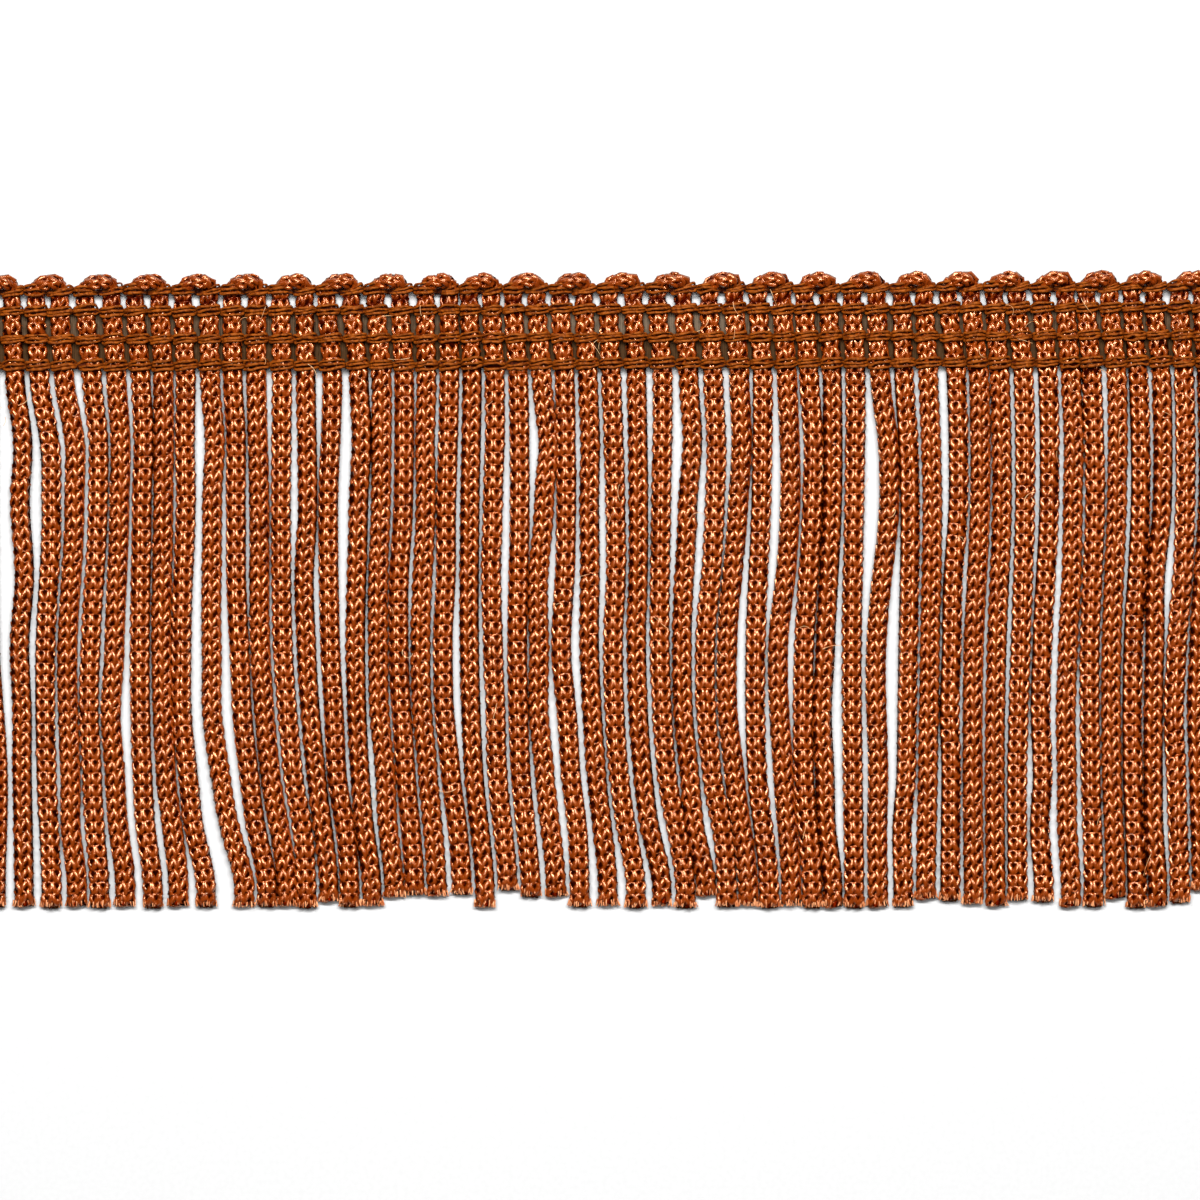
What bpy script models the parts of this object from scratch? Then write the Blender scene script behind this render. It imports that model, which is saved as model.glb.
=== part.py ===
"""Chainette fringe trim: a cut length of knitted cord laid in hairpins, lying face up.

One knitted cord runs up through the heading, bends over in a scallop and comes down
again, so each hairpin gives two strands of fringe.  Four crocheted chain rows of matt
yarn cross the cords and hold them.  X runs along the trim, Y from the hem up to the
scallops, Z up from the surface that the trim lies on.  The origin is under the middle.
"""

from collections import namedtuple

import bmesh
import bpy

MM = 0.001

# ---- sizes, in millimetres ----
TRIM_LENGTH_SHOWN = 96.3      # length of trim that the layout's 1200 units cover
LAYOUT_UNITS = 1200
UNIT = TRIM_LENGTH_SHOWN / LAYOUT_UNITS

STRAND_FOOT = 1.54            # strand width where it lies on the surface
STRAND_CROWN = 1.18           # width across the top of a strand
STRAND_THICK = 1.12
END_THICK = 0.95              # the cut ends flatten a little
STRAND_CLEARANCE = 0.10       # least space kept between two strands
LAST_SECTION = 8              # least distance from a strand's last section to its cut end
FOOT_LIMIT = 0.2              # corners less than this over the surface are a strand's foot

BACKING_TOP_Y = 361.0         # the strip that carries the strands, in layout units
BACKING_FOOT_Y = 371.5
BACKING_MARGIN = 1.0          # how far it runs past the first and the last strand
TIE_CREST = 1.05              # cord height where a chain row draws it down
TIE_GROOVE = 0.72             # height of the ground between two cords there

ROW_GAP = 0.30                # space kept between a chain row and the cords under it
ROW_GAP_BETWEEN = 0.33        # and over the ground between two cords
ROW_THICK = 0.45
ROW_TOP_SHARE = 0.62          # width of a stitch's top against its foot
ROW_NIP = 0.66                # width of the row between two stitches
HEADING_FOOT_Y = 357.2        # leaves the same space above the backing strip

SCALLOP_RISE = 12.5           # in layout units, above the heading's top line
SCALLOP_HALF = 21.0           # half width of a scallop at its foot
SCALLOP_LEAN = 1.5            # scallops lean a little along the trim
NOTCH_RISE = 1.2              # the heading's edge between two scallops

# ---- colour and roughness of each yarn ----
STRAND_FINISH = ((0.50, 0.115, 0.022), 0.42)
HEADING_FINISH = ((0.44, 0.100, 0.020), 0.50)
CHAIN_FINISH = ((0.34, 0.080, 0.010), 0.85)

# ---- layout, in units of UNIT ----
MID_X = 597.5                 # layout reading at the origin
MID_Y = 587.5
TILT = -4.5                   # the heading's drift in Y over 1200 units of X
Row = namedtuple("Row", "y width")
CHAIN_ROWS = {
    "chain_row_1": Row(290.0, 10.0),
    "chain_row_2": Row(311.5, 9.0),
    "chain_row_3": Row(339.5, 8.5),
    "chain_row_4": Row(366.0, 9.5),
}

# Heights of the heading's face, from its foot up to the scallops.
Level = namedtuple("Level", "y crest groove")
HEADING_LEVELS = (
    Level(357.2, 1.00, 0.55),
    Level(352.0, 1.26, 0.45),
    Level(339.5, TIE_CREST, TIE_GROOVE),
    Level(326.0, 1.30, 0.45),
    Level(311.5, TIE_CREST, TIE_GROOVE),
    Level(301.0, 1.10, 0.45),
    Level(290.0, TIE_CREST, TIE_GROOVE),
    Level(284.0, 1.10, 0.60),
)
# The heading's face beyond its top line: share of the scallop's rise, height over the
# cords and over the bend that joins them, and height between two hairpins.
Scallop = namedtuple("Scallop", "share crown groove")
SCALLOP_LEVELS = (
    Scallop(0.6, 1.28, 0.60),
    Scallop(1.0, 0.62, 0.50),
)
LINES_PER_CORD = 3            # a cord's two crown edges and the ground beside it

# Where each strand lies along the trim: in the heading, at its root, at four places down
# its length, and where it is cut.  Two rows make one hairpin.
LEVELS_Y = (300.0, 379.0, 503.0, 650.0, 774.0, 885.0)
Strand = namedtuple("Strand", "heading root upper middle lower hem end")
STRANDS = (
    Strand(-61.0, -58.0, -56.0, -57.0, -48.0, -50.0, 905),
    Strand(-36.5, -35.0, -33.0, -33.0, -25.0, -27.0, 903),
    Strand(-13.0, -12.0, -12.0, -10.0, -2.0, -4.0, 905),
    Strand(11.5, 15.0, 20.0, 19.5, 22.0, 24.0, 905),
    Strand(35.4, 39.0, 51.0, 45.0, 46.0, 51.0, 906),
    Strand(59.0, 64.0, 74.0, 67.0, 70.0, 76.5, 905),
    Strand(85.0, 92.0, 98.0, 90.5, 92.0, 99.5, 906),
    Strand(111.0, 116.0, 119.0, 114.0, 114.5, 125.0, 905),
    Strand(135.0, 141.0, 142.0, 140.0, 142.5, 153.0, 906),
    Strand(159.0, 163.0, 163.0, 161.0, 165.5, 178.0, 905),
    Strand(183.0, 186.0, 186.0, 181.5, 188.0, 206.0, 905),
    Strand(208.5, 210.0, 212.0, 211.5, 220.0, 244.0, 906),
    Strand(232.4, 233.0, 236.0, 239.5, 249.0, 267.0, 905),
    Strand(256.4, 256.0, 259.0, 260.0, 270.0, 287.0, 905),
    Strand(280.3, 282.0, 281.0, 283.0, 293.0, 306.5, 906),
    Strand(304.8, 306.0, 307.8, 306.5, 316.0, 329.0, 900),
    Strand(326.8, 332.5, 328.5, 330.5, 337.0, 350.0, 905),
    Strand(351.3, 359.0, 358.7, 355.5, 360.0, 372.0, 905),
    Strand(375.2, 381.3, 380.7, 378.0, 385.0, 394.0, 896),
    Strand(400.4, 404.3, 403.5, 399.0, 406.0, 415.0, 894),
    Strand(425.3, 426.6, 425.9, 420.5, 428.0, 437.0, 895),
    Strand(449.2, 449.6, 446.5, 443.0, 451.0, 462.0, 893),
    Strand(469.3, 472.2, 470.0, 469.5, 474.0, 485.0, 906),
    Strand(491.3, 494.8, 493.0, 493.3, 497.5, 508.0, 889),
    Strand(513.3, 518.5, 520.0, 517.5, 521.0, 531.0, 895),
    Strand(536.3, 541.6, 544.0, 539.0, 544.5, 556.0, 895),
    Strand(560.2, 565.0, 566.5, 561.5, 571.0, 580.0, 905),
    Strand(584.1, 588.0, 589.5, 589.5, 596.5, 608.0, 905),
    Strand(608.6, 611.5, 615.5, 613.2, 619.0, 636.0, 906),
    Strand(633.5, 636.7, 638.6, 636.5, 643.0, 662.0, 905),
    Strand(657.4, 662.8, 661.4, 660.0, 667.0, 685.5, 906),
    Strand(683.2, 689.0, 688.0, 682.0, 689.5, 706.5, 894),
    Strand(709.0, 713.3, 715.0, 705.3, 712.0, 727.0, 905),
    Strand(733.9, 738.9, 738.0, 726.7, 734.0, 748.0, 905),
    Strand(757.8, 762.4, 761.0, 755.2, 757.0, 769.0, 906),
    Strand(781.8, 786.9, 790.0, 777.7, 783.0, 791.0, 905),
    Strand(804.7, 809.5, 812.4, 804.3, 804.0, 812.5, 906),
    Strand(828.6, 832.4, 832.5, 825.5, 825.0, 833.0, 905),
    Strand(852.5, 855.8, 854.5, 852.0, 853.0, 854.5, 906),
    Strand(876.4, 880.3, 889.0, 876.0, 878.0, 877.5, 905),
    Strand(901.5, 904.0, 910.0, 908.0, 906.0, 903.0, 905),
    Strand(924.5, 928.7, 932.5, 930.0, 928.0, 926.0, 897),
    Strand(947.8, 956.4, 958.2, 951.5, 951.0, 950.0, 899),
    Strand(970.8, 978.8, 980.0, 973.5, 972.5, 973.5, 903),
    Strand(994.7, 1000.2, 1002.3, 997.0, 995.0, 996.0, 905),
    Strand(1016.7, 1023.6, 1025.0, 1020.5, 1017.0, 1017.5, 899),
    Strand(1041.6, 1047.9, 1049.0, 1042.0, 1042.5, 1043.5, 900),
    Strand(1065.5, 1071.2, 1073.0, 1068.0, 1067.0, 1071.0, 905),
    Strand(1086.5, 1092.3, 1095.5, 1090.0, 1091.0, 1094.0, 905),
    Strand(1109.5, 1117.1, 1117.0, 1111.6, 1112.0, 1116.0, 896),
    Strand(1131.5, 1138.4, 1140.5, 1133.0, 1132.5, 1137.0, 906),
    Strand(1154.4, 1162.0, 1162.5, 1155.0, 1153.5, 1158.0, 905),
    Strand(1179.3, 1184.5, 1185.5, 1177.0, 1176.5, 1180.0, 901),
    Strand(1202.0, 1207.0, 1208.0, 1199.0, 1199.0, 1202.0, 888),
    Strand(1226.0, 1231.0, 1232.0, 1222.0, 1222.5, 1225.0, 905),
    Strand(1250.0, 1254.5, 1256.0, 1246.0, 1247.0, 1250.0, 904),
)
SECTIONS_Y = (379, 440, 503, 576, 650, 712, 774, 830, 885)


def smooth(places, values, at):
    """Value at a place on the smooth curve through the values read at places."""
    last = len(places) - 1
    i = 0
    while i < last - 1 and at > places[i + 1]:
        i += 1
    span = places[i + 1] - places[i]
    t = min(max((at - places[i]) / span, 0.0), 1.0)
    before = values[max(i - 1, 0)]
    start, stop = values[i], values[i + 1]
    after = values[min(i + 2, last)]
    lean = (stop - before) / 2
    lean_after = (after - start) / 2
    a = 2 * start - 2 * stop + lean + lean_after
    b = 3 * (stop - start) - 2 * lean - lean_after
    return ((a * t + b) * t + lean) * t + start


def lies_at(strand, y):
    """A strand's place along the trim at the height y of the layout."""
    return smooth(LEVELS_Y, strand[:6], y)


def half_width(index, y):
    """Half a strand's foot, less where its neighbour lies close."""
    here = lies_at(STRANDS[index], y)
    half = STRAND_FOOT / UNIT / 2
    for other in (index - 1, index + 1):
        if 0 <= other < len(STRANDS):
            near = abs(lies_at(STRANDS[other], y) - here)
            half = min(half, (near - STRAND_CLEARANCE / UNIT) / 2)
    return half


def point(x, y, z, tilted=False):
    """Layout units and a height in millimetres, as a point in metres."""
    if tilted:
        y += TILT * x / LAYOUT_UNITS
    return ((x - MID_X) * UNIT * MM, (MID_Y - y) * UNIT * MM, z * MM)


def column_lines(y):
    """Places across the cords at y: between cords, then each crown's two edges."""
    centres = [lies_at(s, y) for s in STRANDS]
    edge = STRAND_FOOT / UNIT / 2
    crown = STRAND_CROWN / UNIT / 2
    lines = [centres[0] - edge]
    for i, centre in enumerate(centres):
        lines.append(centre - crown)
        lines.append(centre + crown)
        if i + 1 < len(centres):
            lines.append((centre + centres[i + 1]) / 2)
    lines.append(centres[-1] + edge)
    return lines


def is_between(line):
    """True for the lines that run between two cords."""
    return line % LINES_PER_CORD == 0


def is_over_bend(line):
    """True for the lines that run between the two cords of one hairpin."""
    return line % (2 * LINES_PER_CORD) == LINES_PER_CORD


def loft(bm, rings):
    """One closed skin through rings that have the same number of points."""
    loops = [[bm.verts.new(p) for p in ring] for ring in rings]
    for a, b in zip(loops, loops[1:]):
        for i in range(len(a)):
            j = (i + 1) % len(a)
            bm.faces.new((a[i], a[j], b[j], b[i]))
    bm.faces.new(loops[0])
    bm.faces.new(list(reversed(loops[-1])))
    return loops


def finished(bm, name, material, collection):
    """Turns the working mesh into a named object with its own material."""
    bmesh.ops.recalc_face_normals(bm, faces=bm.faces)
    mesh = bpy.data.meshes.new(name)
    bm.to_mesh(mesh)
    bm.free()
    mesh.materials.append(material)
    obj = bpy.data.objects.new(name, mesh)
    collection.objects.link(obj)
    return obj


def yarn_material(name, colour, roughness):
    material = bpy.data.materials.new(name)
    material.use_nodes = True
    shader = material.node_tree.nodes["Principled BSDF"]
    shader.inputs["Base Color"].default_value = (*colour, 1.0)
    shader.inputs["Roughness"].default_value = roughness
    shader.inputs["Metallic"].default_value = 0.0
    material.diffuse_color = (*colour, 1.0)
    return material


def scallop_top(x):
    """How far the heading's edge rises over x, as one dome for each hairpin."""
    rise = NOTCH_RISE
    for left, right in zip(STRANDS[::2], STRANDS[1::2]):
        middle = (left.heading + right.heading) / 2 + SCALLOP_LEAN
        off = (x - middle) / SCALLOP_HALF
        if abs(off) < 1:
            rise = max(rise, SCALLOP_RISE * (1 - off * off) ** 0.5)
    return rise


def heading_points():
    """Rows of points over the heading's face, from its foot to the scallops' rim."""
    rows = []
    for level in HEADING_LEVELS:
        row = []
        for line, x in enumerate(column_lines(level.y)):
            z = level.groove if is_between(line) else level.crest
            row.append(point(x, level.y, z, tilted=True))
        rows.append(row)
    top = HEADING_LEVELS[-1]
    for level in SCALLOP_LEVELS:
        row = []
        for line, x in enumerate(column_lines(top.y)):
            rise = scallop_top(x) * level.share
            raised = is_over_bend(line) or not is_between(line)
            z = level.crown if raised else level.groove
            row.append(point(x, top.y - rise, z, tilted=True))
        rows.append(row)
    return rows


def build_heading(collection, material):
    """The cords side by side under the chain rows, with their scalloped bends."""
    rows = heading_points()
    wide, high = len(rows[0]) - 1, len(rows) - 1
    bm = bmesh.new()
    bmesh.ops.create_grid(bm, x_segments=wide, y_segments=high, size=1.0)
    for vert in bm.verts:
        i = round((vert.co.x + 1) / 2 * wide)
        j = round((vert.co.y + 1) / 2 * high)
        vert.co = rows[j][i]
    rim = [edge for edge in bm.edges if edge.is_boundary]
    side = bmesh.ops.extrude_edge_only(bm, edges=rim)["geom"]
    for vert in [item for item in side if isinstance(item, bmesh.types.BMVert)]:
        vert.co.z = 0.0
    foot = [edge for edge in bm.edges if edge.is_boundary]
    bmesh.ops.edgeloop_fill(bm, edges=foot)
    return finished(bm, "heading", material, collection)


def root_lines():
    """Lines across the backing strip: (place, height, strand to its right or None)."""
    first = lies_at(STRANDS[0], BACKING_FOOT_Y) - half_width(0, BACKING_FOOT_Y)
    lines = [(first - BACKING_MARGIN, TIE_GROOVE, None)]
    for i, strand in enumerate(STRANDS):
        x = lies_at(strand, BACKING_FOOT_Y)
        half = half_width(i, BACKING_FOOT_Y)
        lines.append((x - half, TIE_CREST, i))
        lines.append((x + half, TIE_CREST, None))
        if i + 1 < len(STRANDS):
            ahead = lies_at(STRANDS[i + 1], BACKING_FOOT_Y) - half_width(i + 1, BACKING_FOOT_Y)
            lines.append(((x + half + ahead) / 2, TIE_GROOVE, None))
    lines.append((lines[-1][0] + BACKING_MARGIN, TIE_GROOVE, None))
    return lines


def draw_strand(bm, root, index):
    """Draws one strand out of its root on the strip, down to its cut end."""
    end = STRANDS[index].end
    stops = [y for y in SECTIONS_Y if y < end - LAST_SECTION] + [end]
    face = root
    for y in stops:
        x = lies_at(STRANDS[index], y)
        foot = half_width(index, y)
        crown = foot * STRAND_CROWN / STRAND_FOOT
        thick = END_THICK if y == end else STRAND_THICK
        middle = sum(v.co.x for v in face.verts) / 4
        low = min(v.co.z for v in face.verts) + FOOT_LIMIT * MM
        made = bmesh.ops.extrude_discrete_faces(bm, faces=[face])["faces"]
        face = made[0]
        for vert in face.verts:
            side = 1 if vert.co.x > middle else -1
            if vert.co.z > low:
                vert.co = point(x + side * crown, y, thick)
            else:
                vert.co = point(x + side * foot, y, 0.0)


def build_fringe(collection, material):
    """The backing strip at the heading's foot and every strand drawn out of it."""
    lines = root_lines()
    rings = []
    for x, height, _ in lines:
        rings.append((
            point(x, BACKING_TOP_Y, 0.0, tilted=True),
            point(x, BACKING_TOP_Y, height, tilted=True),
            point(x, BACKING_FOOT_Y, height, tilted=True),
            point(x, BACKING_FOOT_Y, 0.0, tilted=True),
        ))
    bm = bmesh.new()
    loops = loft(bm, rings)
    for i, (_, _, strand) in enumerate(lines):
        if strand is None:
            continue
        corners = set(loops[i][2:] + loops[i + 1][2:])
        root = next(f for f in loops[i][2].link_faces if set(f.verts) == corners)
        draw_strand(bm, root, strand)
    return finished(bm, "fringe", material, collection)


def stitch_ring(x, row, width, foot_z):
    """Section of a chain row at x: a low four-sided yarn bundle."""
    half = width / 2
    crown = half * ROW_TOP_SHARE
    return (
        point(x, row.y + half, foot_z, tilted=True),
        point(x, row.y + crown, foot_z + ROW_THICK, tilted=True),
        point(x, row.y - crown, foot_z + ROW_THICK, tilted=True),
        point(x, row.y - half, foot_z, tilted=True),
    )


def build_chain_row(name, row, collection, material):
    """A crocheted chain across the cords: one raised stitch for each cord."""
    centres = [lies_at(strand, row.y) for strand in STRANDS]
    over_cord = TIE_CREST + ROW_GAP
    between = TIE_GROOVE + ROW_GAP_BETWEEN
    rings = []
    for i, x in enumerate(centres):
        rings.append(stitch_ring(x, row, row.width, over_cord))
        if i + 1 < len(centres):
            gap = (x + centres[i + 1]) / 2
            rings.append(stitch_ring(gap, row, row.width * ROW_NIP, between))
    edge = STRAND_FOOT / UNIT / 2
    rings.insert(0, stitch_ring(centres[0] - edge, row, row.width * ROW_NIP, between))
    rings.append(stitch_ring(centres[-1] + edge, row, row.width * ROW_NIP, between))
    bm = bmesh.new()
    loft(bm, rings)
    return finished(bm, name, material, collection)


def clear_scene():
    for obj in list(bpy.data.objects):
        bpy.data.objects.remove(obj, do_unlink=True)


def main():
    clear_scene()
    trim = bpy.data.collections.new("chainette_fringe_trim")
    bpy.context.scene.collection.children.link(trim)
    strand_cord = yarn_material("strand_cord", *STRAND_FINISH)
    heading_cord = yarn_material("heading_cord", *HEADING_FINISH)
    chain_yarn = yarn_material("chain_yarn", *CHAIN_FINISH)
    build_fringe(trim, strand_cord)
    build_heading(trim, heading_cord)
    for name, row in CHAIN_ROWS.items():
        build_chain_row(name, row, trim, chain_yarn)


main()
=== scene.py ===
"""Chainette fringe trim: a cut length of knitted rayon cord laid in hairpins, face up.

Every hairpin is one knitted tube, stitch by stitch: it runs up through the heading, bends
over in a scallop and comes down again as the next strand.  Four crocheted chain rows of
matt plied yarn lock the cords.  X runs along the trim, Y up to the scallops, Z out of the
face.
"""

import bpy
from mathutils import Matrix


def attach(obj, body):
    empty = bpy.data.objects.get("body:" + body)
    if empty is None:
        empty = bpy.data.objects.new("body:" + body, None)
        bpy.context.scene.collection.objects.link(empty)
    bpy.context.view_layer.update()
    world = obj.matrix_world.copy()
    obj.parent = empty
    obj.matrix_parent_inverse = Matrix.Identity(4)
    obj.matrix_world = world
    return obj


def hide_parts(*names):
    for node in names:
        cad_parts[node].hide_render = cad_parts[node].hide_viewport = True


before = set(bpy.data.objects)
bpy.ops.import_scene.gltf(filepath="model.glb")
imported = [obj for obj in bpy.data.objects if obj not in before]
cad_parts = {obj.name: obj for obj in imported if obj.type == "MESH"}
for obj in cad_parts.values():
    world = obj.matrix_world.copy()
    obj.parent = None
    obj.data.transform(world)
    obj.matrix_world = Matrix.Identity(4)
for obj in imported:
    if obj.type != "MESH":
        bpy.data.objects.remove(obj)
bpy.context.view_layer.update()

import math
from collections import namedtuple

import bpy
import numpy as np
from bpy.props import FloatProperty, FloatVectorProperty, IntProperty, PointerProperty
from mathutils import Vector

bl_info = {
    "name": "Chainette fringe trim",
    "version": (1, 0, 0),
    "blender": (4, 5, 0),
    "location": "View3D > Sidebar > Fringe",
    "description": "Knits a chainette fringe with its crocheted heading, stitch by stitch",
    "category": "Add Mesh",
}

MM = 0.001
TEXTILE_IOR = 1.53            # how strongly rayon and cotton bend light
BODY = "root"

# ---- the trim's layout, in units of UNIT millimetres ----
TRIM_LENGTH_SHOWN = 96.3
LAYOUT_UNITS = 1200
UNIT = TRIM_LENGTH_SHOWN / LAYOUT_UNITS
MID_X = 597.5                 # the layout's place that lies on the frame's origin
MID_Y = 587.5
TILT = -4.5                   # the heading's drift in Y over 1200 units of X

Row = namedtuple("Row", "node y width")
CHAIN_ROWS = (
    Row("chain_row_1", 290.0, 10.0),
    Row("chain_row_2", 311.5, 9.0),
    Row("chain_row_3", 339.5, 8.5),
    Row("chain_row_4", 366.0, 9.5),
)
HEADING_FOOT_Y = 371.0        # the strands run free below this
BEND_Y = 290.0                # the cords start to bend over into the scallop here

# Where each strand lies along the trim: in the heading, at its root, at four places down
# its length, and where it is cut.  Two rows make one hairpin.
LEVELS_Y = (300.0, 379.0, 503.0, 650.0, 774.0, 885.0)
Strand = namedtuple("Strand", "heading root upper middle lower hem end")
STRANDS = tuple(Strand(*places) for places in (
    (-61, -58, -56, -57, -48, -50, 905),
    (-36.5, -35, -33, -33, -25, -27, 903),
    (-13, -12, -12, -10, -2, -4, 905),
    (11.5, 15, 20, 19.5, 22, 24, 905),
    (35.4, 39, 51, 45, 46, 51, 906),
    (59, 64, 74, 67, 70, 76.5, 905),
    (85, 92, 98, 90.5, 92, 99.5, 906),
    (111, 116, 119, 114, 114.5, 125, 905),
    (135, 141, 142, 140, 142.5, 153, 906),
    (159, 163, 163, 161, 165.5, 178, 905),
    (183, 186, 186, 181.5, 188, 206, 905),
    (208.5, 210, 212, 211.5, 220, 244, 906),
    (232.4, 233, 236, 239.5, 249, 267, 905),
    (256.4, 256, 259, 260, 270, 287, 905),
    (280.3, 282, 281, 283, 293, 306.5, 906),
    (304.8, 306, 307.8, 306.5, 316, 329, 900),
    (326.8, 332.5, 328.5, 330.5, 337, 350, 905),
    (351.3, 359, 358.7, 355.5, 360, 372, 905),
    (375.2, 381.3, 380.7, 378, 385, 394, 896),
    (400.4, 404.3, 403.5, 399, 406, 415, 894),
    (425.3, 426.6, 425.9, 420.5, 428, 437, 895),
    (449.2, 449.6, 446.5, 443, 451, 462, 893),
    (469.3, 472.2, 470, 469.5, 474, 485, 906),
    (491.3, 494.8, 493, 493.3, 497.5, 508, 889),
    (513.3, 518.5, 520, 517.5, 521, 531, 895),
    (536.3, 541.6, 544, 539, 544.5, 556, 895),
    (560.2, 565, 566.5, 561.5, 571, 580, 905),
    (584.1, 588, 589.5, 589.5, 596.5, 608, 905),
    (608.6, 611.5, 615.5, 613.2, 619, 636, 906),
    (633.5, 636.7, 638.6, 636.5, 643, 662, 905),
    (657.4, 662.8, 661.4, 660, 667, 685.5, 906),
    (683.2, 689, 688, 682, 689.5, 706.5, 894),
    (709, 713.3, 715, 705.3, 712, 727, 905),
    (733.9, 738.9, 738, 726.7, 734, 748, 905),
    (757.8, 762.4, 761, 755.2, 757, 769, 906),
    (781.8, 786.9, 790, 777.7, 783, 791, 905),
    (804.7, 809.5, 812.4, 804.3, 804, 812.5, 906),
    (828.6, 832.4, 832.5, 825.5, 825, 833, 905),
    (852.5, 855.8, 854.5, 852, 853, 854.5, 906),
    (876.4, 880.3, 889, 876, 878, 877.5, 905),
    (901.5, 904, 910, 908, 906, 903, 905),
    (924.5, 928.7, 932.5, 930, 928, 926, 897),
    (947.8, 956.4, 958.2, 951.5, 951, 950, 899),
    (970.8, 978.8, 980, 973.5, 972.5, 973.5, 903),
    (994.7, 1000.2, 1002.3, 997, 995, 996, 905),
    (1016.7, 1023.6, 1025, 1020.5, 1017, 1017.5, 899),
    (1041.6, 1047.9, 1049, 1042, 1042.5, 1043.5, 900),
    (1065.5, 1071.2, 1073, 1068, 1067, 1071, 905),
    (1086.5, 1092.3, 1095.5, 1090, 1091, 1094, 905),
    (1109.5, 1117.1, 1117, 1111.6, 1112, 1116, 896),
    (1131.5, 1138.4, 1140.5, 1133, 1132.5, 1137, 906),
    (1154.4, 1162, 1162.5, 1155, 1153.5, 1158, 905),
    (1179.3, 1184.5, 1185.5, 1177, 1176.5, 1180, 901),
    (1202, 1207, 1208, 1199, 1199, 1202, 888),
    (1226, 1231, 1232, 1222, 1222.5, 1225, 905),
    (1250, 1254.5, 1256, 1246, 1247, 1250, 904),
))

# How far some strands bow aside halfway between those places, from the root down.
NO_BOW = (0, 0, 0, 0)
BOWS = {
    3: (5, 4.5, 1.5, 0),
    4: (3.5, 0, 0, 0),
    5: (4.5, 0, 0, -3),
    6: (2.5, 0, -1.5, -1),
    7: (2, 0, -3, -1.5),
    8: (1.5, 0, 0, -2),
    10: (-1.5, 0, -1.5, -3),
    11: (3.5, 0, -2.5, -2.5),
    12: (2, -1, -1, -2),
    14: (0, 0, 0, 2),
    15: (0, -2.5, 0, 0),
    16: (0, 0, 1, 1.5),
    17: (2, 0, 0, -1.5),
    18: (0, -1, -1.5, -2),
    19: (0, -1.5, 0, 0),
    20: (-1.5, 0, -1, 0),
    21: (0, 2, -1.5, 1),
    23: (1, -1.5, 1, 0),
    25: (4.5, -3, -2, 0),
    26: (0, 1.5, 1.5, 1.5),
    27: (1.5, 1, 0, 0),
    28: (0, 2, 0, -1),
    29: (0, 1, 0, -2.5),
    31: (3.5, 0, -1, -3),
    32: (1.5, 1, -1, 2),
    33: (2, 0, -1.5, 0),
    35: (0, 1.5, 0, 0),
    36: (2, 0, 0, 0),
    37: (0, 0, -2, -2),
    39: (2, -1, 0, -1),
    40: (1, 0, 0, -2.5),
    42: (0, -2, -1.5, 0),
    46: (0, 0, -1.5, -3.5),
    47: (1, 1, -1, -1.5),
    51: (0, -3, 0, -1.5),
    52: (0, 1.5, -2, 0),
    53: (0, 0, -1.5, 0),
}

# How the stitches of a strand lie: in level courses, or slanting across the strand.
LEVEL, SLANT = "level", "slant"
Lay = namedtuple("Lay", "left right")
LAYS = {
    9: Lay(SLANT, LEVEL),
    10: Lay(SLANT, LEVEL),
    11: Lay(SLANT, LEVEL),
    20: Lay(SLANT, SLANT),
    22: Lay(SLANT, LEVEL),
    26: Lay(SLANT, SLANT),
}
USUAL_LAY = Lay(LEVEL, SLANT)


# ---- small helpers ----
def srgb(code):
    """An sRGB hex colour as linear RGBA."""
    channels = [int(code[i:i + 2], 16) / 255 for i in (0, 2, 4)]
    return [c / 12.92 if c <= 0.04045 else ((c + 0.055) / 1.055) ** 2.4
            for c in channels] + [1.0]


def smooth(places, values, at):
    """Value at a place on the smooth curve through the values read at places."""
    last = len(places) - 1
    i = 0
    while i < last - 1 and at > places[i + 1]:
        i += 1
    span = places[i + 1] - places[i]
    t = min(max((at - places[i]) / span, 0.0), 1.0)
    before = values[max(i - 1, 0)]
    start, stop = values[i], values[i + 1]
    after = values[min(i + 2, last)]
    lean = (stop - before) / 2
    lean_after = (after - start) / 2
    a = 2 * start - 2 * stop + lean + lean_after
    b = 3 * (stop - start) - 2 * lean - lean_after
    return ((a * t + b) * t + lean) * t + start


def lies_at(strand, y):
    """A strand's place along the trim at the height y of the layout."""
    bow = 0.0
    bows = BOWS.get(STRANDS.index(strand), NO_BOW)
    for share, top, foot in zip(bows, LEVELS_Y[1:], LEVELS_Y[2:]):
        if top < y < foot:
            bow = share * math.sin(math.pi * (y - top) / (foot - top)) ** 2
    return smooth(LEVELS_Y, strand[:6], y) + bow


def drift(x):
    """How far the heading has drifted in Y at x, in layout units."""
    return TILT * x / LAYOUT_UNITS


def to_mm(x, y):
    """Layout units as millimetres in the trim's own frame."""
    return (np.asarray(x) - MID_X) * UNIT, (MID_Y - np.asarray(y)) * UNIT


def bell(distance, width):
    """1 at no distance, fading to nothing within about twice the width."""
    return np.exp(-(np.asarray(distance) / width) ** 2)


def wander(rng, count, reach, at):
    """Random values that change steadily: one knot for each whole step of at."""
    knots = rng.normal(0.0, reach, count + 3)
    return np.interp(at, np.arange(count + 3), knots)


def through(points, per):
    """Dense points on the smooth curve through the given ones, per to each span."""
    p = np.asarray(points, dtype=float)
    ends = np.vstack([2 * p[0] - p[1], p, 2 * p[-1] - p[-2]])
    a, b, c, d = ends[:-3], ends[1:-2], ends[2:-1], ends[3:]
    t = (np.arange(per) / per)[None, :, None]
    a, b, c, d = (q[:, None, :] for q in (a, b, c, d))
    dense = 0.5 * (2 * b + (c - a) * t + (2 * a - 5 * b + 4 * c - d) * t ** 2
                   + (3 * b - a - 3 * c + d) * t ** 3)
    return np.vstack([dense.reshape(-1, p.shape[1]), p[-1]])


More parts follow.
